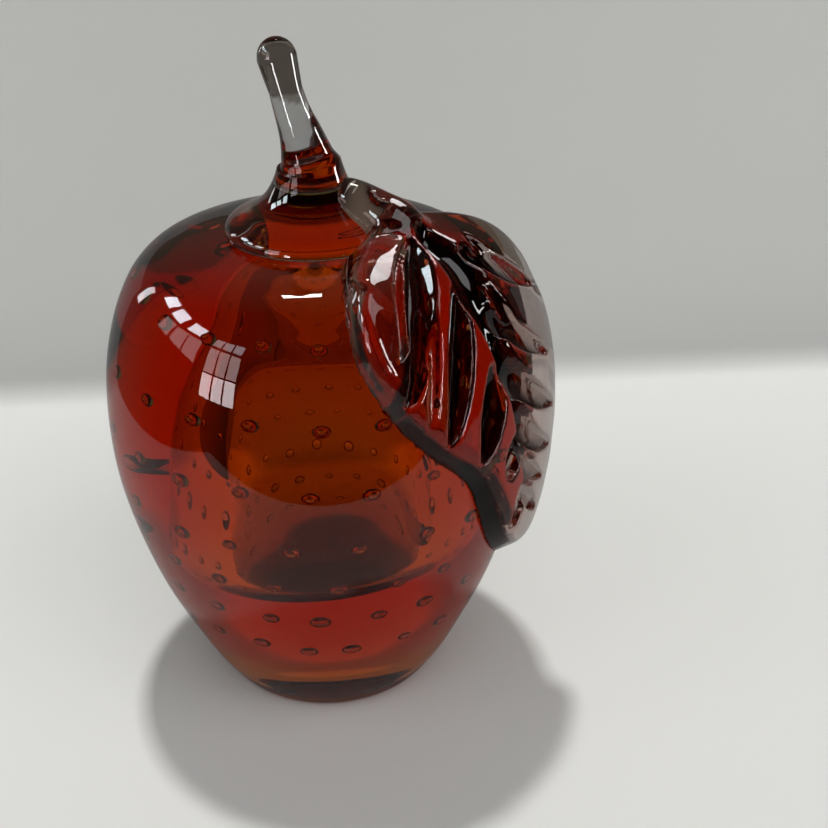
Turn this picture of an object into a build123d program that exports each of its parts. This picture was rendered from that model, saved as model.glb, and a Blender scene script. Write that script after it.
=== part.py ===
from build123d import *
import math
import os

# Art glass apple: a hollow amber core, a casing gather that closes a grid of air bubbles,
# a clear stem with a bell-shaped foot, and a clear pressed leaf laid over the shoulder.
# Millimetres, +Z up, origin in the middle of the ground base. The front is -Y, and the
# leaf hangs between +X and -Y.

# Body of the apple: its side is arcs that meet at the belly, the shoulder and the crown
body_radius = 50.0
body_height = 116.0
belly_height = 71.0
base_draw_in = 23.75
crown_draw_in = 12.9
shoulder_radius = 18.0
crown_radius = 190.0
base_round = 2.5

# Amber core: its wall to the casing, its floor above the base, and the neck it was blown by
casing_wall = 7.5
casing_floor = 13.0
core_floor_radius = 18.0
core_side_rise = 7.0
core_side_drop = 16.0
core_dome_radius = 26.0
core_dome_drop = 9.5
neck_radius = 8.0

# Air void in the core, drawn in to a neck at the top: the glass under it and over it
void_radius = 23.0
void_floor = 24.0
void_roof = 11.0
void_outline_shares = ((1.0, 0.01), (1.0, 0.61), (0.72, 0.75), (0.19, 0.80), (0.13, 1.0))
void_round_shares = (0.26, 0.60, 0.30, 0.14, 0.05)

# Bubbles: pits that a spiked mould pressed in the core's skin, closed over by the casing
bubble_diameter = 3.0
bubble_height = 2.4
bubble_sides = 6
bubble_columns = 20
bubble_rows = 7
bubble_row_turn = 5.0

# Stem: a bell-shaped foot, which rises over the body's top, and the leaning upper part
foot_radius = 19.7
foot_shoulder_rise = 1.5
foot_shoulder_round = 5.0
foot_waist_radius = 10.2
foot_waist_rise = 8.8
foot_waist_round = 12.0
root_radius = 7.0
foot_rise = 14.0
stem_rise = 24.0
stem_lean = 5.8
stem_tip_radius = 4.1
stem_radius_shares = (0.72, 0.585, 0.53, 0.56)

# Leaf: where it hangs and how it faces, and its size seen square on
leaf_azimuth = -42.0
leaf_tilt = 40.0
leaf_length = 77.5
leaf_half_width = 29.0
leaf_root_gap = 9.0
leaf_bands = 12
blade_thickness = 4.8
rim_width = 2.4
margin_round = 4.0
left_margin_shares = (
    (0.03, -0.25),
    (0.10, -0.52),
    (0.19, -0.80),
    (0.36, -0.92),
    (0.55, -0.74),
    (0.68, -0.46),
    (0.81, -0.25),
    (0.91, -0.02),
)
right_margin_shares = (
    (0.93, 0.72),
    (0.80, 0.86),
    (0.62, 0.98),
    (0.42, 1.09),
    (0.24, 0.99),
    (0.11, 0.76),
    (0.03, 0.45),
)
tip_share = 0.36
root_share = 0.10

# The leaf's raised lobes, on both sides of the midrib, and its stalk
lobe_rise = 1.6
lobe_spacing = 6.6
lobe_radius = 2.6
lobe_root_radius = 0.9
first_lobe_height = 15.5
left_lobe_angle = 34.0
right_lobe_angle = 45.0
left_lobes = 6
right_lobes = 7
midrib_tip_width = 2.4
midrib_root_width = 6.4
stalk_turn = 14.0
stalk_root_radius = 4.6
stalk_root_reach = 7.0
stalk_root_rise = 7.5
stalk_end_radius = 3.6
stalk_end_reach = 27.0

overrun = 30.0

os.makedirs("parts", exist_ok=True)

root_height = body_height + foot_rise
core_side_bottom = casing_floor + core_side_rise
core_side_top = body_height - core_side_drop
void_bottom = casing_floor + void_floor
void_height = body_height - void_roof - void_bottom
leaf_top = body_height * math.cos(math.radians(leaf_tilt)) - leaf_root_gap
leaf_tip = leaf_top - leaf_length


def side_arc(rise, draw_in):
    """The radius of an arc that leaves the belly upright and comes in this far over this rise."""
    return (rise**2 + draw_in**2) / (2 * draw_in)


upper_side_radius = side_arc(body_height - belly_height, crown_draw_in)
lower_side_radius = side_arc(belly_height, base_draw_in)


def low_right(width, height):
    """A rectangle that starts at the origin and reaches right and up."""
    return Rectangle(width, height, align=(Align.MIN, Align.MIN))


def far_corners(section):
    """The corners of a half section that lie away from the axis, from the lowest up."""
    return section.vertices().filter_by(lambda corner: corner.X > base_round).sort_by(Axis.Y)


def apple_section(inset, floor):
    """Half of the apple's section, this far inside its skin and above this floor."""
    upper_centre = Pos(body_radius - upper_side_radius, belly_height)
    lower_centre = Pos(body_radius - lower_side_radius, belly_height)
    crown_centre = Pos(0, body_height - crown_radius)
    upper = upper_centre * Circle(upper_side_radius - inset)
    lower = lower_centre * Circle(lower_side_radius - inset)
    crown = crown_centre * Circle(crown_radius - inset)
    above = Pos(0, belly_height) * low_right(body_radius - inset, body_height)
    below = Pos(0, floor) * low_right(body_radius - inset, belly_height - floor)
    section = (upper & crown & above) + (lower & below)
    return fillet(far_corners(section)[-1], shoulder_radius - inset)


def side_radius(height, inset):
    """The radius of the apple's side at this height, less the inset."""
    arc = upper_side_radius if height > belly_height else lower_side_radius
    return body_radius - arc + math.sqrt((arc - inset) ** 2 - (height - belly_height) ** 2)


def crown_height(reach):
    """The height of the apple's crown at this distance from the axis."""
    return body_height - crown_radius + math.sqrt(crown_radius**2 - reach**2)


def body_solid():
    section = apple_section(0, 0)
    section = fillet(far_corners(section)[0], base_round)
    return revolve(Plane.XZ * section, Axis.Z)


def core_corner(number):
    """A corner of the core's side, which runs in straight bands, one for each row of bubbles."""
    height = core_side_bottom + (core_side_top - core_side_bottom) * number / bubble_rows
    return Vector(side_radius(height, casing_wall), height)


def core_solid(body):
    dome_height = body_height - core_dome_drop
    points = [(0, casing_floor), (core_floor_radius, casing_floor)]
    points.extend(core_corner(number) for number in range(bubble_rows + 1))
    points.append((core_dome_radius, dome_height))
    points.append((neck_radius, dome_height))
    points.append((neck_radius, body_height + overrun))
    points.append((0, body_height + overrun))
    return revolve(Plane.XZ * make_face(Polyline(points, close=True)), Axis.Z) & body


def bubble_solid():
    """One bubble as a low-faced double cone."""
    upper = loft([RegularPolygon(bubble_diameter / 2, bubble_sides), Vertex(0, 0, bubble_height / 2)])
    return upper + mirror(upper, Plane.XY)


def bubble_grid():
    """The bubbles, one row in the middle of each band of the core's side."""
    bubble = bubble_solid()
    grid = []
    for row in range(bubble_rows):
        middle = (core_corner(row) + core_corner(row + 1)) / 2
        for column in range(bubble_columns):
            turn = 360 * column / bubble_columns + row * bubble_row_turn
            grid.append(Rot(0, 0, turn) * Pos(middle.X, 0, middle.Y) * bubble)
    return grid


def void_solid():
    """The hollow, turned from a rounded outline."""
    top = void_bottom + void_height
    points = [(0, void_bottom)]
    for radius_share, height_share in void_outline_shares:
        points.append((radius_share * void_radius, void_bottom + height_share * void_height))
    points.append((0, top))
    side = FilletPolyline(points, radius=[share * void_radius for share in void_round_shares])
    return revolve(Plane.XZ * make_face([side, Line((0, top), (0, void_bottom))]), Axis.Z)


def foot_solid():
    """The stem's foot, a turned bell with a rounded shoulder and a hollow flare."""
    shoulder_height = body_height + foot_shoulder_rise
    bottom = shoulder_height - foot_radius
    outline = FilletPolyline(
        (foot_radius, bottom),
        (foot_radius, shoulder_height),
        (foot_waist_radius, body_height + foot_waist_rise),
        (root_radius, root_height),
        radius=[foot_shoulder_round, foot_waist_round],
    )
    rest = Polyline((root_radius, root_height), (0, root_height), (0, bottom), (foot_radius, bottom))
    return revolve(Plane.XZ * make_face([outline, rest]), Axis.Z)


def stem_solid(body):
    """The foot, the leaning upper part drawn through rings, and the round tip."""
    root = Vector(0, 0, root_height)
    top = Vector(-stem_lean, 0, root_height + stem_rise)
    path = Spline(root, top, tangents=[(0, 0, 1), (-stem_lean, 0, stem_rise)])
    radii = [root_radius]
    radii.extend(share * root_radius for share in stem_radius_shares)
    radii.append(stem_tip_radius)
    rings = []
    for place, radius in enumerate(radii):
        along = place / (len(radii) - 1)
        rings.append(Plane(origin=path @ along, x_dir=(0, 1, 0), z_dir=path % along) * Circle(radius))
    return foot_solid() + loft(rings) + Pos(top) * Sphere(stem_tip_radius) - body


def leaf_plane():
    """A plane inside the apple that the leaf faces, with its Y axis up along the leaf."""
    azimuth = math.radians(leaf_azimuth)
    tilt = math.radians(leaf_tilt)
    across = Vector(-math.sin(azimuth), math.cos(azimuth), 0)
    out = math.cos(tilt)
    facing = Vector(out * math.cos(azimuth), out * math.sin(azimuth), math.sin(tilt))
    inside = facing * (body_radius - leaf_root_gap)
    return Plane(origin=inside, x_dir=across, z_dir=facing)


def margin_point(along_share, across_share):
    return (across_share * leaf_half_width, leaf_top - along_share * leaf_length)


def margin_face():
    """The leaf's outline seen square on, before its lobes scallop it."""
    points = [margin_point(0, root_share)]
    points.extend(margin_point(*shares) for shares in left_margin_shares)
    points.append(margin_point(1, tip_share))
    points.extend(margin_point(*shares) for shares in right_margin_shares)
    return make_face(FilletPolyline(points, radius=margin_round, close=True))


def petal(start, end, start_radius, end_radius):
    """A long rounded outline round two circles."""
    first = Pos(start.X, start.Y) * Circle(start_radius)
    last = Pos(end.X, end.Y) * Circle(end_radius)
    return make_hull(first.edges() + last.edges())


def lobe_lines(margin):
    """The start and end of each lobe's middle line, from the midrib to inside the margin."""
    lines = []
    for side, count, angle in ((-1, left_lobes, left_lobe_angle), (1, right_lobes, right_lobe_angle)):
        lean = math.radians(angle)
        way = Vector(side * math.sin(lean), -math.cos(lean))
        for number in range(count):
            up = first_lobe_height + number * lobe_spacing / math.sin(lean)
            width = midrib_tip_width + (midrib_root_width - midrib_tip_width) * up / leaf_length
            start = Vector(side * width / 2, leaf_tip + up)
            inside = (Line(start, start + way * leaf_length) & margin).edges()
            reach = inside.sort_by(lambda edge: (edge.center() - start).length)[0].length
            reach -= lobe_radius + rim_width
            if reach > lobe_radius:
                lines.append((start, start + way * reach))
    return lines


def leaf_shell(rise):
    """The apple's shape this far outside its skin, turned in straight bands."""
    section = Plane.XZ * apple_section(-rise, overrun)
    skin = Wire(section.edges().filter_by(GeomType.CIRCLE))
    places = [skin @ (band / leaf_bands) for band in range(leaf_bands + 1)]
    places.sort(key=lambda place: place.Z)
    points = [(place.X, place.Z) for place in places]
    points.append((0, overrun))
    return revolve(Plane.XZ * make_face(Polyline(points, close=True)), Axis.Z)


def stalk_solid():
    """The stalk, from inside the stem's foot down to the blade."""
    azimuth = math.radians(leaf_azimuth + stalk_turn)
    aside = Vector(math.cos(azimuth), math.sin(azimuth), 0)
    root = aside * stalk_root_reach + Vector(0, 0, body_height + stalk_root_rise)
    end_height = crown_height(stalk_end_reach) + blade_thickness / 2
    end = aside * stalk_end_reach + Vector(0, 0, end_height)
    first = Plane(origin=root, z_dir=end - root) * Circle(stalk_root_radius)
    last = Plane(origin=end, z_dir=end - root) * Circle(stalk_end_radius)
    return loft([first, last]) + Pos(end) * Sphere(stalk_end_radius)


def leaf_solid(body, stem):
    """The blade with its raised lobes, pressed on the apple's skin, and its stalk."""
    margin = margin_face()
    plane = leaf_plane()
    blade = offset(margin, -rim_width / 2)
    lobes = Sketch()
    for start, end in lobe_lines(margin):
        lobes += petal(start, end, lobe_root_radius, lobe_radius)
        blade += petal(start, end, lobe_root_radius + rim_width, lobe_radius + rim_width)
    depth = 2 * body_radius
    low = (extrude(plane * blade, depth) & leaf_shell(blade_thickness)) - body
    high = (extrude(plane * lobes, depth) & leaf_shell(blade_thickness + lobe_rise)) - body
    return low + high + stalk_solid() - body - stem


body = body_solid()
core = core_solid(body)
stem = stem_solid(body)
leaf = leaf_solid(body, stem)
casing = body - core
core = core.cut(*bubble_grid()) - void_solid()

export_step(core, "parts/core.step")
export_step(casing, "parts/casing.step")
export_step(stem, "parts/stem.step")
export_step(leaf, "parts/leaf.step")
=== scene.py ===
import bpy
import math
import numpy as np
from mathutils import Matrix, Vector


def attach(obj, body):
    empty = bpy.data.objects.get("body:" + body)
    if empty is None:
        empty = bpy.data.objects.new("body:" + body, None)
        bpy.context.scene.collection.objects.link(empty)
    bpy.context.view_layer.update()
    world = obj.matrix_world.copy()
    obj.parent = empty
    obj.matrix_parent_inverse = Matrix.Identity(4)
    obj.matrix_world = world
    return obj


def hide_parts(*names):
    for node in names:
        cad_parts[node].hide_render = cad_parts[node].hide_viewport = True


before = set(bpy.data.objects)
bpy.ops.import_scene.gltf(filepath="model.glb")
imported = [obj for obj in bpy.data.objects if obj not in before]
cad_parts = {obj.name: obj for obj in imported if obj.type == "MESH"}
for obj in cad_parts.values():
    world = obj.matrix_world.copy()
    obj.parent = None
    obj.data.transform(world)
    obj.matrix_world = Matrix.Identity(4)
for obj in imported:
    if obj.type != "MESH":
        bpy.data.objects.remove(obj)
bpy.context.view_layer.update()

MM = 0.001
scene = bpy.context.scene

# Shared maths


def curve_through(points, steps):
    """A smooth line through the points, with this many steps between each two."""
    p = np.array(points, float)
    p = np.vstack([2 * p[0] - p[1], p, 2 * p[-1] - p[-2]])
    out = []
    for i in range(1, len(p) - 2):
        a, b, c, d = p[i - 1:i + 3]
        gaps = [max(np.linalg.norm(v - u), 1e-6) ** 0.5 for u, v in ((a, b), (b, c), (c, d))]
        t = np.cumsum([0] + gaps)
        for k in range(steps):
            s = t[1] + (t[2] - t[1]) * k / steps
            a1 = (t[1] - s) / (t[1] - t[0]) * a + (s - t[0]) / (t[1] - t[0]) * b
            a2 = (t[2] - s) / (t[2] - t[1]) * b + (s - t[1]) / (t[2] - t[1]) * c
            a3 = (t[3] - s) / (t[3] - t[2]) * c + (s - t[2]) / (t[3] - t[2]) * d
            b1 = (t[2] - s) / (t[2] - t[0]) * a1 + (s - t[0]) / (t[2] - t[0]) * a2
            b2 = (t[3] - s) / (t[3] - t[1]) * a2 + (s - t[1]) / (t[3] - t[1]) * a3
            out.append((t[2] - s) / (t[2] - t[1]) * b1 + (s - t[1]) / (t[2] - t[1]) * b2)
    out.append(p[-2])
    return np.array(out)


class Shape:
    """Vertices and faces in mm. Each vertex has a "seat", under 0 where the glass is fused to its
    neighbour, and a painted shading value, from 0 to 1, that darkens its glass's colour."""

    def __init__(self):
        self.points, self.faces, self.seats, self.painted_shades = [], [], [], []

    def add(self, points, faces, seat, flip=False, painted_shade=0.0):
        start = sum(len(p) for p in self.points)
        self.points.append(np.asarray(points, float))
        self.seats.append(np.broadcast_to(seat, len(points)).astype(float))
        self.painted_shades.append(np.broadcast_to(painted_shade, len(points)).astype(float))
        for f in faces:
            f = [start + int(i) for i in f]
            self.faces.append(f[::-1] if flip else f)

    def piece(self, name, material):
        mesh = bpy.data.meshes.new(name)
        points = np.vstack(self.points) * MM
        mesh.from_pydata(points.tolist(), [], self.faces)
        for label, values in (("seat", self.seats), ("painted_shade", self.painted_shades)):
            layer = mesh.attributes.new(label, "FLOAT", "POINT")
            layer.data.foreach_set("value", np.concatenate(values).astype(np.float32))
        mesh.shade_smooth()
        mesh.materials.append(material)
        mesh.update()
        mesh.validate()
        piece = bpy.data.objects.new(name, mesh)
        scene.collection.objects.link(piece)
        return piece


def turned(line, around):
    """Rings round the Z axis, from a line of (radius, height) that starts and ends on the axis.
    The line runs from the bottom outwards and up, so that the faces look outwards."""
    line = np.asarray(line, float)
    rings = line[1:-1]
    turn = 2 * np.pi * np.arange(around) / around
    x = rings[:, :1] * np.cos(turn)
    y = rings[:, :1] * np.sin(turn)
    z = np.repeat(rings[:, 1:2], around, 1)
    points = np.stack([x, y, z], -1).reshape(-1, 3)
    points = np.vstack([points, [[0, 0, line[0][1]], [0, 0, line[-1][1]]]])
    count = len(rings)
    low, high = len(points) - 2, len(points) - 1
    faces = []
    for j in range(around):
        n = (j + 1) % around
        faces.append((low, n, j))
        for i in range(count - 1):
            a, b = i * around, (i + 1) * around
            faces.append((a + j, a + n, b + n, b + j))
        faces.append(((count - 1) * around + j, (count - 1) * around + n, high))
    return points, faces


# Profiles, in mm

AROUND = 224
GAP = 0.03
SEAT_RADIUS = 19.2
NECK_RADIUS = 8.0
CORE_FLOOR = 13.0
TOP = 116.0

body_side = curve_through(
    [(24.6, 0.0), (26.4, 0.35), (27.7, 1.5), (29.4, 4.2), (32.0, 8.4), (36.2, 17.2), (42.1, 31.0),
     (46.7, 46.5), (49.3, 60.0), (50.0, 71.0), (49.7, 80.0), (48.7, 88.0), (46.9, 95.2),
     (44.6, 101.4), (41.2, 107.4), (36.8, 111.5), (30.6, 113.8), (22.0, 115.0), (11.0, 115.8),
     (0.0, TOP)], 10)
core_side = curve_through(
    [(18.0, CORE_FLOOR), (21.5, 14.4), (25.0, 17.5), (29.6, 25.0), (35.2, 37.0), (39.4, 49.0),
     (41.9, 60.0), (42.5, 71.0), (42.1, 81.0), (40.6, 90.0), (37.4, 98.0), (32.4, 103.6),
     (26.0, 106.2), (18.0, 106.7), (11.5, 107.0), (8.6, 109.0), (NECK_RADIUS, 112.0)], 8)
void_side = curve_through(
    [(0.0, 37.0), (9.0, 37.05), (16.5, 37.5), (20.3, 39.2), (22.3, 42.4), (23.0, 47.5),
     (23.0, 56.0), (23.0, 65.0), (21.6, 74.5), (18.6, 82.0), (14.2, 86.8), (9.6, 89.2), (6.4, 91.0),
     (4.4, 94.0), (3.3, 99.0), (2.6, 103.0), (0.0, 105.0)], 8)
foot_line = curve_through(
    [(SEAT_RADIUS, 115.3), (19.7, 116.0), (19.4, 117.5), (18.0, 118.9), (15.4, 120.2),
     (12.6, 121.8), (10.4, 123.8), (9.0, 125.9), (8.0, 128.0), (7.3, 130.0)], 6)


def height_on(line, radius):
    """The height of a crown line at this radius."""
    return float(np.interp(radius, line[::-1, 0], line[::-1, 1]))


# Glass materials


GLASS_IOR = 1.5
SMEAR_RANGE = (0.56, 0.78, 0.0, 0.07)


def glass(name, colour, density, bump=0.02, scale=60.0, dark=None):
    """Clear glass, tinted by depth. Its fused faces let light straight through, and where a dark
    colour is given, painted shading darkens its colour towards it."""
    m = bpy.data.materials.new(name)
    m.use_nodes = True
    nt = m.node_tree
    nt.nodes.clear()
    out = nt.nodes.new("ShaderNodeOutputMaterial")
    shader = nt.nodes.new("ShaderNodeBsdfPrincipled")
    shader.inputs["Base Color"].default_value = (1, 1, 1, 1)
    # Painted shade: the attribute mixes the Base Color towards the dark colour.
    if dark:
        painted_shade = nt.nodes.new("ShaderNodeAttribute")
        painted_shade.attribute_name = "painted_shade"
        painted_darkening = nt.nodes.new("ShaderNodeMixRGB")
        painted_darkening.inputs["Color1"].default_value = (1, 1, 1, 1)
        painted_darkening.inputs["Color2"].default_value = (*dark, 1)
        nt.links.new(painted_shade.outputs["Fac"], painted_darkening.inputs["Fac"])
        nt.links.new(painted_darkening.outputs["Color"], shader.inputs["Base Color"])
    shader.inputs["IOR"].default_value = GLASS_IOR
    shader.inputs["Transmission Weight"].default_value = 1.0
    clear = nt.nodes.new("ShaderNodeBsdfTransparent")
    seat = nt.nodes.new("ShaderNodeAttribute")
    seat.attribute_name = "seat"
    fused = nt.nodes.new("ShaderNodeMath")
    fused.operation = "LESS_THAN"
    fused.inputs[1].default_value = 0.0
    nt.links.new(seat.outputs["Fac"], fused.inputs[0])
    mix = nt.nodes.new("ShaderNodeMixShader")
    nt.links.new(fused.outputs[0], mix.inputs[0])
    nt.links.new(shader.outputs[0], mix.inputs[1])
    nt.links.new(clear.outputs[0], mix.inputs[2])
    nt.links.new(mix.outputs[0], out.inputs["Surface"])
    place = nt.nodes.new("ShaderNodeTexCoord")
    wave = nt.nodes.new("ShaderNodeTexNoise")
    wave.inputs["Scale"].default_value = scale
    wave.inputs["Detail"].default_value = 1.5
    lift = nt.nodes.new("ShaderNodeBump")
    lift.inputs["Strength"].default_value = bump
    lift.inputs["Distance"].default_value = 0.002
    nt.links.new(place.outputs["Object"], wave.inputs["Vector"])
    nt.links.new(wave.outputs["Fac"], lift.inputs["Height"])
    nt.links.new(lift.outputs["Normal"], shader.inputs["Normal"])
    smear = nt.nodes.new("ShaderNodeTexNoise")
    smear.inputs["Scale"].default_value = 140
    smear.inputs["Detail"].default_value = 6
    dull = nt.nodes.new("ShaderNodeMapRange")
    for number, value in enumerate(SMEAR_RANGE, 1):
        dull.inputs[number].default_value = value
    nt.links.new(place.outputs["Object"], smear.inputs["Vector"])
    nt.links.new(smear.outputs["Fac"], dull.inputs[0])
    nt.links.new(dull.outputs[0], shader.inputs["Roughness"])
    depth = nt.nodes.new("ShaderNodeVolumeAbsorption")
    depth.inputs["Color"].default_value = (*colour, 1)
    depth.inputs["Density"].default_value = density
    nt.links.new(depth.outputs[0], out.inputs["Volume"])
    return m


amber_casing = glass("amber_casing_glass", (0.930, 0.68, 0.10), 105)
# The last colour given to the core, the stem and the leaf is the colour of their painted shade.
amber_core = glass("amber_core_glass", (0.962, 0.65, 0.10), 150, dark=(0.22, 0.05, 0.02))
clear_stem = glass("clear_stem_glass", (0.88, 0.90, 0.90), 6, 0.03, 90, (0.10, 0.04, 0.0))
# The leaf's glass is clear: its pink tint is a painted reflection of the amber body.
clear_leaf = glass(
    "clear_leaf_glass", (0.84, 0.66, 0.61), 75, 0.03, 90, (0.004, 0.003, 0.002))

# The leaf's form over the apple's skin

AZIMUTH, TILT = math.radians(-42), math.radians(40)
ACROSS = np.array((-math.sin(AZIMUTH), math.cos(AZIMUTH), 0.0))
FACING = np.array((
    math.cos(TILT) * math.cos(AZIMUTH), math.cos(TILT) * math.sin(AZIMUTH), math.sin(TILT)))
ALONG = np.cross(FACING, ACROSS)

foot_top = foot_line[foot_line[:, 1] > 116.2]
solid_line = np.vstack([
    [(0.0, 0.0)], body_side[body_side[:, 0] > SEAT_RADIUS], foot_top, [(7.3, 131.0), (0.0, 160.0)]])


def outside(points):
    """Signed distance of points from the apple and the stem's foot, positive outside."""
    q = np.stack([np.hypot(points[:, 0], points[:, 1]), points[:, 2]], 1)
    a, b = solid_line[:-1], solid_line[1:]
    ab = b - a
    best = np.full(len(q), 1e9)
    sign = np.ones(len(q))
    for i in range(len(a)):
        w = q - a[i]
        t = np.clip(w @ ab[i] / max(ab[i] @ ab[i], 1e-9), 0, 1)
        d = np.linalg.norm(w - t[:, None] * ab[i], axis=1)
        closer = d < best
        cross = ab[i, 0] * w[:, 1] - ab[i, 1] * w[:, 0]
        sign = np.where(closer, np.where(cross < 0, 1.0, -1.0), sign)
        best = np.where(closer, d, best)
    return best * sign


def on_skin(w, y, lift):
    """The point over (w, y) on the leaf's own plane that lies this far above the apple's skin."""
    base = w * ACROSS + y * ALONG
    ts = np.linspace(95, -40, 541)
    pts = base + ts[:, None] * FACING
    d = outside(pts)
    k = np.nonzero(d < lift)[0]
    return pts[k[0]] if len(k) else pts[int(np.argmin(d))]


# The outline (w, y) on the leaf's own plane, from the stalk down the left side and up the right.
OUTLINE = [
    (3, 81), (-6, 78.5), (-15.7, 74.4), (-24.8, 67.4), (-29.0, 59.3), (-29.2, 51.5), (-26.1, 44.5),
    (-22.8, 38.2), (-18.4, 31.8), (-13.4, 26.6), (-9.0, 21.8), (-5.8, 16.4), (-2.2, 10.8), (3, 6.0),
    (8.5, 3.0), (14, 2.2), (18.4, 4.0), (21.0, 8.0), (22.0, 12.2), (24.4, 16.4), (24.8, 20.2),
    (27.8, 24.2), (28.8, 28.8), (31.6, 33.6), (31.4, 38.2), (33.4, 43.6), (32.4, 49.5),
    (29.6, 53.2), (29.2, 59.6), (27.0, 66.5), (22.6, 72.6), (16, 77.6), (9.5, 80.6)]
# Pressed grooves between the lobes: points (w, y) along each, then its half width, its depth, how
# much painted shade it gets and how far it narrows.
GROOVES = [
    ([(-0.7, 74.3), (-9.5, 69.2), (-16.1, 63.8), (-20.2, 58.6), (-22.9, 54.6), (-26.0, 52.1)],
     1.2, 3.2, 0.3, 0),
    ([(-1.3, 73.1), (-6.9, 68.0), (-11.7, 63.0), (-15.3, 58.6), (-20.6, 50.3), (-25.6, 42.6)],
     1.7, 4.6, 1.0, 0),
    ([(-11.4, 59.7), (-14.9, 54.4), (-17.9, 48.5), (-20.4, 42.1), (-22.4, 35.7)], 0.8, 1.6, 0.3, 0),
    ([(-4.0, 61.2), (-6.1, 57.1), (-10.6, 48.5), (-14.5, 40.0), (-18.3, 31.8)], 1.8, 4.8, 1.0, 0),
    ([(-4.1, 42.3), (-4.4, 38.6), (-7.1, 31.6), (-10.5, 25.1)], 2.0, 4.6, 1.0, 0),
    ([(1.0, 26.5), (0.2, 24.0), (-1.0, 21.5), (-2.4, 18.2)], 1.6, 4.0, 0.9, 0),
    ([(3.4, 16.0), (3.2, 13.1), (2.7, 9.9), (2.1, 7.5)], 1.3, 3.0, 0.5, 0),
    ([(10.6, 69.6), (10.4, 65.7), (11.7, 60.3), (15.4, 54.9)], 1.2, 1.8, 0.1, 0),
    ([(5.7, 67.5), (7.0, 64.0), (10.1, 60.7), (14.2, 57.1), (22.9, 52.3)], 2.6, 4.4, 1.0, 0.8),
    ([(3.8, 59.2), (4.1, 55.7), (5.6, 51.2), (7.8, 46.6), (10.8, 42.6)], 1.0, 2.4, 0.8, 0.5),
    ([(1.6, 55.9), (2.1, 51.6), (4.3, 47.6), (9.6, 43.0), (21.8, 37.2)], 2.2, 4.4, 1.0, 0.8),
    ([(-0.3, 44.0), (1.0, 39.9), (4.4, 35.1), (10.7, 30.6), (22.0, 26.6)], 2.1, 4.2, 1.0, 0.8),
    ([(1.7, 32.4), (3.0, 28.7), (6.1, 24.7), (10.5, 21.7), (19.0, 19.2)], 1.9, 4.0, 1.0, 0.8),
    ([(2.3, 24.3), (4.1, 20.7), (7.9, 17.0), (15.0, 13.7)], 1.7, 3.6, 0.9, 0.8),
    ([(4.9, 15.5), (7.6, 11.7), (14.0, 7.6)], 1.5, 3.0, 0.6, 0.8),
]
# The midrib's valley: points (w, y) and the half width at each.
MIDRIB = [
    (2.6, 74.4, 1.6), (1.4, 69.6, 2.9), (0.9, 65.3, 3.9), (0.4, 61.4, 4.3), (-0.5, 57.8, 4.2),
    (-0.8, 54.9, 3.9), (-0.3, 49.2, 3.3), (-0.4, 43.9, 2.3), (0.8, 38.3, 2.5), (1.7, 32.9, 1.8),
    (2.6, 25.2, 1.3), (4.8, 16.6, 0.9), (7.0, 12.0, 0.6)]
MIDRIB_DEPTH = 4.6
# Where the leaf's first lobe stands free of the apple, and how wide that strip is on each side.
LIFTED = np.array([(-4.0, 76.5), (-13.5, 69.5), (-20.5, 61.5), (-24.5, 53.0)])
LIFTED_RADIUS = 6.8
THICK = 6.6
VALLEY_POWER = 1.2


def closed_through(points, steps):
    """A smooth closed line through the points."""
    p = [points[-2], points[-1], *points, points[0], points[1], points[2]]
    line = curve_through(p, steps)
    return line[2 * steps:-3 * steps]


def to_line(q, line):
    """Distance of flat points from a line, and the share along it of the nearest place."""
    seg = np.diff(line, axis=0)
    length = np.linalg.norm(seg, axis=1)
    start = np.concatenate([[0], np.cumsum(length)])
    best = np.full(len(q), 1e9)
    share = np.zeros(len(q))
    for i in range(len(seg)):
        w = q - line[i]
        t = np.clip(w @ seg[i] / max(length[i] ** 2, 1e-9), 0, 1)
        d = np.hypot(*(w - t[:, None] * seg[i]).T)
        share = np.where(d < best, (start[i] + t * length[i]) / start[-1], share)
        best = np.minimum(best, d)
    return best, share


def in_outline(q, line):
    """Signed distance of flat points from a closed line, negative inside."""
    loop = np.vstack([line, line[:1]])
    d, _ = to_line(q, loop)
    crossings = np.zeros(len(q), int)
    for a, b in zip(loop[:-1], loop[1:]):
        spans = (a[1] > q[:, 1]) != (b[1] > q[:, 1])
        rise = b[1] - a[1] if b[1] != a[1] else 1e-9
        at = a[0] + (q[:, 1] - a[1]) * (b[0] - a[0]) / rise
        crossings += spans & (q[:, 0] < at)
    return np.where(crossings % 2 == 1, -d, d)


def soft_max(a, b, k):
    """The larger of the two, rounded over where they differ by less than k."""
    h = np.maximum(k - np.abs(a - b), 0) / k
    return np.maximum(a, b) + h * h * k / 4


def soft_min(a, b, k):
    """The smaller of the two, rounded over as soft_max is."""
    return -soft_max(-a, -b, k)


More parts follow.
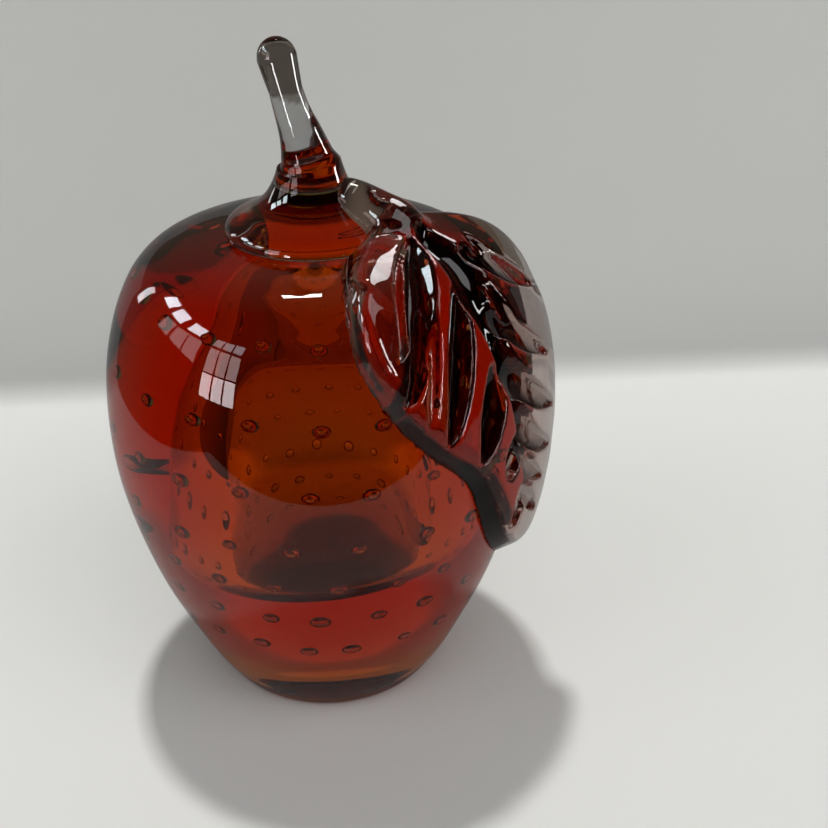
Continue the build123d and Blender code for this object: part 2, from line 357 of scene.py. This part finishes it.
def leaf_relief(q):
    """How far the leaf's face stands above the apple at flat points, and how much painted shading
    darkens it there.
    """
    cut = np.zeros(len(q))
    painted_shade = np.zeros(len(q))
    for points, half, depth, dark, narrow in GROOVES:
        d, share = to_line(q, curve_through(points, 4))
        taper = np.sqrt(np.clip(np.sin(np.pi * np.clip(share, 0.002, 0.998)), 0, 1))
        wide = half * taper * (1.25 - narrow * share) + 1e-3
        x = np.clip(d / (wide * 1.5), 0, 1)
        cut = soft_max(cut, np.minimum(1.3 * depth, THICK - 0.9) * taper * (1 - x * x), 0.5)
        painted_shade = np.maximum(painted_shade, dark * np.clip((wide * 1.05 - d) / 0.5, 0, 1))
    rib = curve_through(MIDRIB, 4)
    d, share = to_line(q, rib[:, :2])
    along = np.concatenate([[0], np.cumsum(np.hypot(*np.diff(rib[:, :2], axis=0).T))])
    half = np.interp(share, along / along[-1], rib[:, 2])
    x = np.clip(d / (half * 1.3), 0, 1)
    taper = np.sqrt(np.clip(np.sin(np.pi * np.clip(0.12 + 0.86 * share, 0, 1)), 0, 1))
    valley = MIDRIB_DEPTH * taper * (1 - x * x) ** VALLEY_POWER
    # The midrib's valley gets painted shade as well.
    painted_shade = np.maximum(painted_shade, np.clip((half * 1.05 - d) / 0.5, 0, 1))
    return THICK - soft_max(cut, valley, 0.8) + 0.7 * lobe_gap(q), painted_shade


def lobe_gap(q):
    """How far the first lobe's edge stands off the apple at flat points."""
    return 0.22 * np.clip(-16.5 - q[:, 0], 0, 12) * np.clip((q[:, 1] - 41) / 10, 0, 1)


class Table:
    """Values of a function of two lengths, worked out on a grid and read back between its points."""

    def __init__(self, function, low, high, step):
        self.low, self.step = np.array(low, float), step
        self.count = np.ceil((np.array(high) - self.low) / step).astype(int) + 2
        axes = [self.low[i] + step * np.arange(self.count[i]) for i in range(2)]
        pts = np.stack(np.meshgrid(*axes, indexing="ij"), -1).reshape(-1, 2)
        self.values = function(pts).reshape(self.count)

    def read(self, q):
        u = (q - self.low) / self.step
        i = np.clip(u.astype(int), 0, self.count - 2)
        f = np.clip(u - i, 0, 1)
        v = self.values
        a = v[i[:, 0], i[:, 1]] * (1 - f[:, 1]) + v[i[:, 0], i[:, 1] + 1] * f[:, 1]
        b = v[i[:, 0] + 1, i[:, 1]] * (1 - f[:, 1]) + v[i[:, 0] + 1, i[:, 1] + 1] * f[:, 1]
        return a * (1 - f[:, 0]) + b * f[:, 0]


def from_side(q):
    """Signed distance outside the apple at flat points (radius, height)."""
    return outside(np.stack([q[:, 0], np.zeros(len(q)), q[:, 1]], 1))


VOXEL = 0.5
LEAF_CLEARANCE = 0.06
outline = closed_through(OUTLINE, 5)
flat_low, flat_high = outline.min(0) - 6, outline.max(0) + 6
skin = Table(from_side, (0, 20), (75, 140), 0.4)
edge_table = Table(lambda q: in_outline(q, outline), flat_low, flat_high, 0.4)
height_table = Table(lambda q: leaf_relief(q)[0], flat_low, flat_high, 0.3)
painted_shade_table = Table(lambda q: leaf_relief(q)[1], flat_low, flat_high, 0.3)


def foot_seat(points):
    """Under 0 where the stem's foot is fused to the apple: not along its left edge."""
    r = np.hypot(points[:, 0], points[:, 1])
    return np.maximum(r - SEAT_RADIUS, -9.0 - points[:, 0])


def leaf_seat(points):
    """Under 0 at points on the apple's skin that the leaf is fused to: not at its rim, under its
    first lobe or on its right half."""
    flat = np.stack([points @ ACROSS, points @ ALONG], 1)
    over = edge_table.read(flat) + 0.6
    over = np.maximum(over, LIFTED_RADIUS - to_line(flat, LIFTED)[0])
    over = np.maximum(over, flat[:, 0] - 8 - 0.28 * (flat[:, 1] - 20))
    far = (points @ FACING < 8) | (np.hypot(points[:, 0], points[:, 1]) < 20.3)
    return np.where(far, 1.0, over)


# Casing and core

neck_top = height_on(body_side, NECK_RADIUS)
casing = Shape()
inner = core_side.copy()
inner[:, 0] += GAP
inner[:, 1] -= np.where(inner[:, 1] < 60, GAP, -GAP)
outer = [p for p in body_side if p[0] > NECK_RADIUS + GAP]
neck_rim = [(NECK_RADIUS + GAP, height_on(body_side, NECK_RADIUS + GAP))]
line = np.array(
    [(0.0, 0.0)] + outer + neck_rim + [tuple(p) for p in inner[::-1]] + [(0.0, CORE_FLOOR - GAP)])
points, faces = turned(line, AROUND)
ring_count = len(line) - 2
ring_is_inner = np.arange(ring_count) >= len(outer) + 1
near_foot = points[:, 2] > 105
seat = np.minimum(leaf_seat(points), np.where(near_foot, foot_seat(points), 1.0))
seat[:-2] = np.where(np.repeat(ring_is_inner, AROUND), -1.0, seat[:-2])
seat[-2:] = (1.0, -1.0)
casing.add(points, faces, seat)


def bubble_shape(centre, out, width, height, deep):
    """A small closed bubble. Its faces look into it, because the glass is outside."""
    rows, cols = 10, 16
    up = np.array((0.0, 0.0, 1.0))
    up = up - out * (up @ out)
    up /= np.linalg.norm(up)
    side = np.cross(up, out)
    pts = [centre - up * height / 2]
    for i in range(1, rows):
        a = math.pi * i / rows - math.pi / 2
        for j in range(cols):
            b = 2 * math.pi * j / cols
            ball = (math.cos(a) * math.cos(b), math.cos(a) * math.sin(b), math.sin(a))
            pts.append(centre + side * ball[0] * width / 2 + out * ball[1] * deep / 2
                       + up * ball[2] * height / 2)
    pts.append(centre + up * height / 2)
    fs = []
    for j in range(cols):
        n = (j + 1) % cols
        fs.append((0, 1 + n, 1 + j))
        for i in range(rows - 2):
            a = 1 + i * cols
            fs.append((a + j, a + n, a + cols + n, a + cols + j))
        a = 1 + (rows - 2) * cols
        fs.append((a + j, a + n, len(pts) - 1))
    return np.array(pts), fs


# The bubbles' rows: height in mm and how far each is turned, in degrees.
BUBBLE_ROWS = (
    (101, 0), (87.5, -0.5), (73, -4), (60.5, -9.3), (48.5, -15.5), (38, -21), (28.5, -27))
BUBBLE_COLUMNS = 20
BUBBLE_WIDTH, BUBBLE_SPREAD = 3.9, 0.12
BUBBLE_OUT = 1.9

rng = np.random.default_rng(7)
for height, phase in BUBBLE_ROWS:
    i = int(np.argmin(np.abs(core_side[:110, 1] - height)))
    p, q = core_side[i - 1], core_side[i + 1]
    along = (q - p) / np.linalg.norm(q - p)
    normal = np.array((along[1], -along[0]))
    for column in range(BUBBLE_COLUMNS):
        turn = math.radians(360 // BUBBLE_COLUMNS * column + phase - 90 + rng.normal(0, 1.0))
        middle = core_side[i] + normal * BUBBLE_OUT + along * rng.normal(0, 0.5)
        way = np.array((math.cos(turn), math.sin(turn), 0.0))
        centre = way * middle[0] + np.array((0, 0, middle[1]))
        out = way * normal[0] + np.array((0, 0, normal[1]))
        size = BUBBLE_WIDTH * math.exp(rng.normal(0, BUBBLE_SPREAD))
        pts, fs = bubble_shape(centre, out, size, size * 0.68, size * 0.7)
        casing.add(pts, fs, 1.0, flip=True)
casing_piece = casing.piece("casing_glass", amber_casing)

core = Shape()
top = [(NECK_RADIUS, neck_top - GAP), (4.0, height_on(body_side, 4.0) - GAP), (0.0, TOP - GAP)]
line = np.array([(0.0, CORE_FLOOR)] + [tuple(p) for p in core_side] + top)
points, faces = turned(line, AROUND)
core.add(points, faces, -1.0)
points, faces = turned(void_side, AROUND)
# The void's floor leans a little, and its lower part has painted shade.
points[:, 2] += 0.09 * points[:, 0] * np.clip((56 - points[:, 2]) / 18, 0, 1)
core.add(points, faces, 1.0, flip=True, painted_shade=0.85 * np.clip((55 - points[:, 2]) / 7, 0, 1))
core_piece = core.piece("core_glass", amber_core)

# Stem

# The stem's middle line: x, height and radius.
STEM = np.array([
    (0.0, 130.0, 7.3), (-0.5, 132.4, 5.9), (-1.1, 135.1, 5.2), (-1.8, 137.8, 4.65),
    (-2.7, 140.6, 4.15), (-3.5, 143.3, 3.85), (-4.4, 147.0, 3.62), (-5.2, 150.7, 4.0),
    (-5.9, 154.1, 4.3)])
STEM_AROUND = 96
TIP_RADIUS = 4.2
stem_path = curve_through(STEM[:, :2], 5)
stem_radii = np.interp(stem_path[:, 1], STEM[:, 1], STEM[:, 2])


def rings_shape(rings, low, high, around):
    """Rings of (centre, x direction, y direction, radius) closed at both ends by a point."""
    turn = 2 * np.pi * np.arange(around) / around
    pts = [c + radius * (np.cos(t) * x + np.sin(t) * y) for c, x, y, radius in rings for t in turn]
    pts += [low, high]
    fs = []
    for j in range(around):
        n = (j + 1) % around
        fs.append((len(pts) - 2, n, j))
        for i in range(len(rings) - 1):
            a, b = i * around, (i + 1) * around
            fs.append((a + j, a + n, b + n, b + j))
        i = (len(rings) - 1) * around
        fs.append((i + j, i + n, len(pts) - 1))
    return np.array(pts), fs


X, Y, Z = np.eye(3)
rings = []
flags = []
for radius in np.linspace(1.5, SEAT_RADIUS - 0.2, 12):
    rings.append((Z * (height_on(body_side, radius) + GAP), X, Y, radius))
    flags.append(-1.0)
for radius, height in foot_line:
    rings.append((Z * height, X, Y, radius))
    flags.append(1.0)
for k in range(1, len(stem_path)):
    p = stem_path[k]
    q = stem_path[min(k + 1, len(stem_path) - 1)] - stem_path[k - 1]
    q = q / np.linalg.norm(q)
    across = np.array((q[1], 0.0, -q[0]))
    rings.append((np.array((p[0], 0.0, p[1])), across, Y, stem_radii[k]))
    flags.append(1.0)
way = np.array((q[0], 0.0, q[1]))
end = rings[-1][0]
for a in np.linspace(12, 80, 9):
    s, c = math.sin(math.radians(a)), math.cos(math.radians(a))
    rings.append((end + way * TIP_RADIUS * s, across, Y, TIP_RADIUS * c))
    flags.append(1.0)
stem = Shape()
points, faces = rings_shape(rings, Z * (TOP + GAP), end + way * TIP_RADIUS, STEM_AROUND)
flags = np.concatenate([np.repeat(flags, STEM_AROUND), [-1.0, 1.0]])
# Painted shade darkens the stem's tip and a collar round its foot.
tip = 0.78 * np.clip((points[:, 2] + 0.25 * points[:, 0] - 144.2) / 0.4, 0, 1)
collar = np.clip((points[:, 2] - 121.1) / 0.3, 0, 1) * np.clip((127.3 - points[:, 2]) / 0.4, 0, 1)
seat = np.maximum(flags, np.where(flags < 0, foot_seat(points), 1.0))
stem.add(points, faces, seat, painted_shade=np.maximum(tip, collar))
stem_piece = stem.piece("stem_glass", clear_stem)

# Leaf

corner = [on_skin(w, y, lift) for w, y in outline[::8] for lift in (0.5, 6.5)]
# The stalk: its middle line and radius.
stalk = curve_through(
    [(6.0, -2.6, 124.4, 3.2), (10.5, -6.0, 122.9, 3.5), (15.0, -9.5, 121.2, 3.8),
     (19.5, -13.5, 119.4, 4.4)], 3)
every = np.vstack([corner, stalk[:, :3]])
low = every.min(0) - 5
counts = np.ceil((every.max(0) + 5 - low) / VOXEL).astype(int) + 1
axes = [low[i] + VOXEL * np.arange(counts[i]) for i in range(3)]
grid = np.stack(np.meshgrid(*axes, indexing="ij"), -1).reshape(-1, 3)
lift = skin.read(np.stack([np.hypot(grid[:, 0], grid[:, 1]), grid[:, 2]], 1))
near = (np.abs(lift) < 11) & (grid @ FACING > 8)
cells = grid[near]
lift = lift[near]
flat = np.stack([cells @ ACROSS, cells @ ALONG], 1)
blade = soft_max(edge_table.read(flat), lift - height_table.read(flat), 2.4)
for a, b, ra, rb in zip(stalk[:-1, :3], stalk[1:, :3], stalk[:-1, 3], stalk[1:, 3]):
    ab = b - a
    t = np.clip((cells - a) @ ab / (ab @ ab), 0, 1)
    tube = np.linalg.norm(cells - a - t[:, None] * ab, axis=1) - (ra + t * (rb - ra))
    blade = soft_min(blade, tube, 3.5)
field = np.full(len(grid), 15.0)
field[near] = np.maximum(blade, LEAF_CLEARANCE + lobe_gap(flat) - lift)
field = field.reshape(counts)


def surface_net(field, axes_low, step):
    """A closed quad mesh of the zero level of a field on a grid."""
    inside = field < 0
    cells = np.zeros(tuple(n - 1 for n in field.shape), int)
    corners = [(i, j, k) for i in (0, 1) for j in (0, 1) for k in (0, 1)]

    def part(a, i, j, k):
        return a[i:a.shape[0] - 1 + i, j:a.shape[1] - 1 + j, k:a.shape[2] - 1 + k]

    for c in corners:
        cells += part(inside, *c)
    active = (cells > 0) & (cells < 8)
    index = np.full(active.shape, -1)
    where = np.argwhere(active)
    index[active] = np.arange(len(where))
    total = np.zeros((len(where), 3))
    count = np.zeros(len(where))
    for c in corners:
        for axis in range(3):
            if c[axis]:
                continue
            d = list(c)
            d[axis] = 1
            fa, fb = part(field, *c)[active], part(field, *d)[active]
            cut = (fa < 0) != (fb < 0)
            t = np.where(cut, fa / np.where(cut, fa - fb, 1), 0)
            at = np.array(c, float) + np.eye(3)[axis] * t[:, None]
            total += at * cut[:, None]
            count += cut
    pts = axes_low + step * (where + total / count[:, None])
    quads = []
    for axis in range(3):
        u, v = (axis + 1) % 3, (axis + 2) % 3
        a = [slice(None)] * 3
        b = [slice(None)] * 3
        a[axis], b[axis] = slice(0, -1), slice(1, None)
        fa, fb = inside[tuple(a)], inside[tuple(b)]
        edge = np.argwhere(fa != fb)
        edge = edge[(edge[:, u] > 0) & (edge[:, v] > 0)]
        up = fa[tuple(edge.T)]
        q = []
        for du, dv in ((1, 1), (0, 1), (0, 0), (1, 0)):
            cell = edge.copy()
            cell[:, u] -= du
            cell[:, v] -= dv
            q.append(index[tuple(cell.T)])
        q = np.stack(q, 1)
        quads.append(np.where(up[:, None], q, q[:, ::-1]))
    return pts, np.vstack(quads)


points, faces = surface_net(field, low, VOXEL)
leaf = Shape()
reach = skin.read(np.stack([np.hypot(points[:, 0], points[:, 1]), points[:, 2]], 1))
flat = np.stack([points @ ACROSS, points @ ALONG], 1)
# Painted shade darkens the side wall at the lower left and the grooves' floors.
wall = np.clip((height_table.read(flat) - 1.0 - reach) / 0.8, 0, 1) * (edge_table.read(flat) > -2.5)
wall = wall * np.clip((47 - flat[:, 1]) / 5, 0, 1) * np.clip((9 - flat[:, 0]) / 3, 0, 1)
painted_shade = np.where(edge_table.read(flat) < -0.8, painted_shade_table.read(flat), 0) * (reach > 0.6)
seat = np.maximum(leaf_seat(points), (reach - 0.35) * 3)
leaf.add(points, faces, seat, painted_shade=np.maximum(painted_shade, wall))
leaf_piece = leaf.piece("leaf_glass", clear_leaf)
smooth = leaf_piece.modifiers.new("smooth", "SMOOTH")
smooth.factor, smooth.iterations = 0.5, 4

# The stage, the lights and the camera


def sheet(name, colour):
    """Matt paper that shows only from its front, so that the wall hides nothing from behind, and
    that looks half as bright in reflections."""
    m = bpy.data.materials.new(name)
    m.use_nodes = True
    nt = m.node_tree
    matt = nt.nodes["Principled BSDF"]
    matt.inputs["Roughness"].default_value = 0.85
    matt.inputs["Specular IOR Level"].default_value = 0.2
    path = nt.nodes.new("ShaderNodeLightPath")
    dimmer = nt.nodes.new("ShaderNodeMixRGB")
    dimmer.inputs["Color1"].default_value = (*colour, 1)
    dimmer.inputs["Color2"].default_value = (*(0.5 * v for v in colour), 1)
    nt.links.new(path.outputs["Is Glossy Ray"], dimmer.inputs["Fac"])
    nt.links.new(dimmer.outputs["Color"], matt.inputs["Base Color"])
    side = nt.nodes.new("ShaderNodeNewGeometry")
    gone = nt.nodes.new("ShaderNodeBsdfTransparent")
    mix = nt.nodes.new("ShaderNodeMixShader")
    nt.links.new(side.outputs["Backfacing"], mix.inputs[0])
    nt.links.new(matt.outputs[0], mix.inputs[1])
    nt.links.new(gone.outputs[0], mix.inputs[2])
    nt.links.new(mix.outputs[0], nt.nodes["Material Output"].inputs["Surface"])
    return m


def strip(name, left, right, line):
    """A sheet along a line of (y, z)."""
    pts = [(x, y, z) for y, z in line for x in (left, right)]
    fs = [(2 * i, 2 * i + 1, 2 * i + 3, 2 * i + 2) for i in range(len(line) - 1)]
    mesh = bpy.data.meshes.new(name)
    mesh.from_pydata(pts, [], fs)
    mesh.shade_smooth()
    mesh.materials.append(paper)
    obj = bpy.data.objects.new(name, mesh)
    scene.collection.objects.link(obj)
    return obj


# The floor bends up into a wall behind the apple. The glass only sees the near part of both.
paper = sheet("pale_paper", (0.80, 0.805, 0.785))
FAR_HALF = 1.6
BEND_START, BEND_RADIUS = 0.14, 0.05
bend = [(BEND_START + BEND_RADIUS * math.sin(a), BEND_RADIUS - BEND_RADIUS * math.cos(a))
        for a in np.radians(np.linspace(0, 90, 13))]
floor = strip("floor", -0.24, 0.42, [(-0.172, 0.0), (0.02, 0.0), *bend, (0.19, 0.155)])
far_floor = strip(
    "far_floor", -FAR_HALF, FAR_HALF, [(-1.8, 0.0), (0.02, 0.0), *bend, (0.19, 0.215)])
far_floor.location = (0, 0.0006, -0.0006)
back_floor = strip("back_floor", -FAR_HALF, FAR_HALF, [(0.13, -0.0012), (1.8, -0.0012)])
for part in (far_floor, back_floor):
    part.visible_glossy = False
    part.visible_transmission = False


def lamp(name, where, target, size, power, colour=(1, 1, 1)):
    """A rectangular area lamp that faces its target."""
    data = bpy.data.lights.new(name, "AREA")
    data.shape = "RECTANGLE"
    data.size, data.size_y = size
    data.energy = power
    data.color = colour
    o = bpy.data.objects.new(name, data)
    o.location = where
    o.rotation_euler = (Vector(target) - Vector(where)).to_track_quat("-Z", "Y").to_euler()
    scene.collection.objects.link(o)
    return o


key = lamp(
    "overhead", (-0.164, 0.931, 3.887), (0, 0, 0.03), (0.28, 0.28), 75.0, (1.0, 1.0, 0.98))
fill = lamp("fill", (0.5, -0.85, 1.15), (0.1, 0.1, 0), (1.6, 1.1), 9.8)
side = lamp("side", (-0.9, -0.5, 0.95), (0, 0.05, 0), (0.9, 0.9), 3.0)
for light in (key, fill, side):
    light.visible_transmission = False
    light.visible_glossy = False


WINDOW_FAR = 1.1
WINDOW_SEEN_FROM = (-0.02, -0.03, 0.1)


def pane(name, azimuth, low, high, width, power, colour):
    """A lit window pane, as the apple sees it: its azimuth from +Y to the left, its lower and
    upper elevation and its width, in degrees."""
    mid, tall = math.radians((low + high) / 2), WINDOW_FAR * math.radians(high - low)
    turn = math.radians(azimuth)
    way = Vector((-math.sin(turn) * math.cos(mid), math.cos(turn) * math.cos(mid), math.sin(mid)))
    size = (WINDOW_FAR * math.radians(width) * math.cos(mid), tall)
    where = way * WINDOW_FAR + Vector(WINDOW_SEEN_FROM)
    light = lamp(name, where, WINDOW_SEEN_FROM, size, power, colour)
    light.visible_diffuse = False
    light.visible_transmission = False
    return light


SKY, CURTAIN = (0.80, 0.92, 1.0), (1.0, 0.82, 0.80)
for i, azimuth in enumerate((64, 80, 98)):
    pane(f"sky_{i}", azimuth, 28, 37, 12, 1.5, SKY)
for i, azimuth in enumerate((80, 92, 103)):
    pane(f"curtain_{i}", azimuth, 13, 25, 10, 0.30, CURTAIN)
for i, azimuth in enumerate((118, 125, 132)):
    pane(f"upper_{i}", azimuth, 26, 33, 6, 0.16, (0.9, 0.95, 1.0))
    pane(f"middle_{i}", azimuth, 12, 24, 6, 0.30, CURTAIN)
    pane(f"lower_{i}", azimuth, 1, 11, 6, 0.70, (1.0, 0.88, 0.90))
pane("door", 50, 6, 22, 5, 0.5, (0.95, 0.97, 1.0))
pane("ceiling_lamp", 3, 55, 58, 13, 0.9, (1.0, 0.97, 0.92))

# Windows and their edges that draw highlights on the stem or the leaf and light nothing else.
for name, lit, where, target, size, power in (
        ("edge_left", stem_piece, (-0.085, -0.135, 0.062), (-0.003, 0, 0.145),
         (0.021, 0.12), 0.2),
        ("edge_right", stem_piece, (0.35, 0.03, 0.145), (-0.003, 0, 0.145),
         (0.055, 0.17), 0.7),
        ("edge_front", leaf_piece, (0.32, -0.42, 0.26), (0.035, -0.03, 0.09),
         (0.07, 0.4), 1.3),
        ("skylight", leaf_piece, (0.13, -0.11, 0.55), (0.02, -0.04, 0.1),
         (0.26, 0.26), 0.5),
        ("transom", leaf_piece, (0.15, 0.28, 0.485), (0.014, -0.03, 0.12),
         (0.15, 0.22), 0.9),
        ("mirror", leaf_piece, (0.126, -0.375, 0.164), (0.014, -0.05, 0.105),
         (0.05, 0.06), 0.14)):
    light = lamp(name, where, target, size, power)
    light.visible_diffuse = False
    light.visible_transmission = False
    only = bpy.data.collections.new(name)
    only.objects.link(lit)
    light.light_linking.receiver_collection = only

# The world: a dim room in reflections, and a pale ground where the camera looks past the paper.
world = bpy.data.worlds.new("room")
scene.world = world
world.use_nodes = True
nt = world.node_tree
back = nt.nodes["Background"]
back.inputs["Strength"].default_value = 1.0
place = nt.nodes.new("ShaderNodeTexCoord")
parts = nt.nodes.new("ShaderNodeSeparateXYZ")
nt.links.new(place.outputs["Generated"], parts.inputs[0])
ramp = nt.nodes.new("ShaderNodeValToRGB")
for stop, (position, colour) in zip(ramp.color_ramp.elements, (
        (0.0, (0.012, 0.011, 0.010, 1)), (0.8, (0.13, 0.105, 0.08, 1)))):
    stop.position, stop.color = position, colour
nt.links.new(parts.outputs["Y"], ramp.inputs[0])
nt.links.new(ramp.outputs[0], back.inputs["Color"])
pale = nt.nodes.new("ShaderNodeBackground")
pale.inputs["Color"].default_value = (0.60, 0.60, 0.57, 1)
path = nt.nodes.new("ShaderNodeLightPath")
either = nt.nodes.new("ShaderNodeMixShader")
nt.links.new(path.outputs["Is Camera Ray"], either.inputs[0])
nt.links.new(back.outputs[0], either.inputs[1])
nt.links.new(pale.outputs[0], either.inputs[2])
nt.links.new(either.outputs[0], nt.nodes["World Output"].inputs["Surface"])

# The camera, fitted to the photograph: angles in degrees, place in metres, focal length in pixels.
PITCH, YAW, ROLL = 28.87, 4.63, 0.48
CAMERA_PLACE = (0, -0.277, 0.220)
FOCAL_PIXELS, PHOTO_WIDTH, SENSOR_WIDTH = 1300, 828, 36
pitch, yaw, roll = math.radians(PITCH), math.radians(YAW), math.radians(ROLL)
forward = Vector(
    (math.sin(yaw) * math.cos(pitch), math.cos(yaw) * math.cos(pitch), -math.sin(pitch)))
right = Vector((math.cos(yaw), -math.sin(yaw), 0))
down = forward.cross(right)
right, down = (math.cos(roll) * right + math.sin(roll) * down,
               -math.sin(roll) * right + math.cos(roll) * down)
camera = bpy.data.objects.new("camera", bpy.data.cameras.new("camera"))
turn = Matrix((right, -down, -forward)).transposed().to_4x4()
camera.matrix_world = Matrix.Translation(CAMERA_PLACE) @ turn
camera.data.sensor_width = SENSOR_WIDTH
camera.data.lens = FOCAL_PIXELS / PHOTO_WIDTH * SENSOR_WIDTH
camera.data.clip_start = 0.01
scene.collection.objects.link(camera)
scene.camera = camera

scene.view_settings.view_transform = "Standard"
scene.cycles.max_bounces = 32
scene.cycles.transmission_bounces = 32
scene.cycles.glossy_bounces = 16
scene.cycles.transparent_max_bounces = 64
scene.cycles.sample_clamp_indirect = 6
scene.cycles.caustics_reflective = False
scene.cycles.use_denoising = True

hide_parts("casing")
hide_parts("core")
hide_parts("stem")
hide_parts("leaf")
for piece, slot in ((casing_piece, "amber_casing_glass"), (core_piece, "amber_core_glass"),
                    (stem_piece, "clear_stem_glass"), (leaf_piece, "clear_leaf_glass")):
    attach(piece, "root")

bpy.context.view_layer.update()
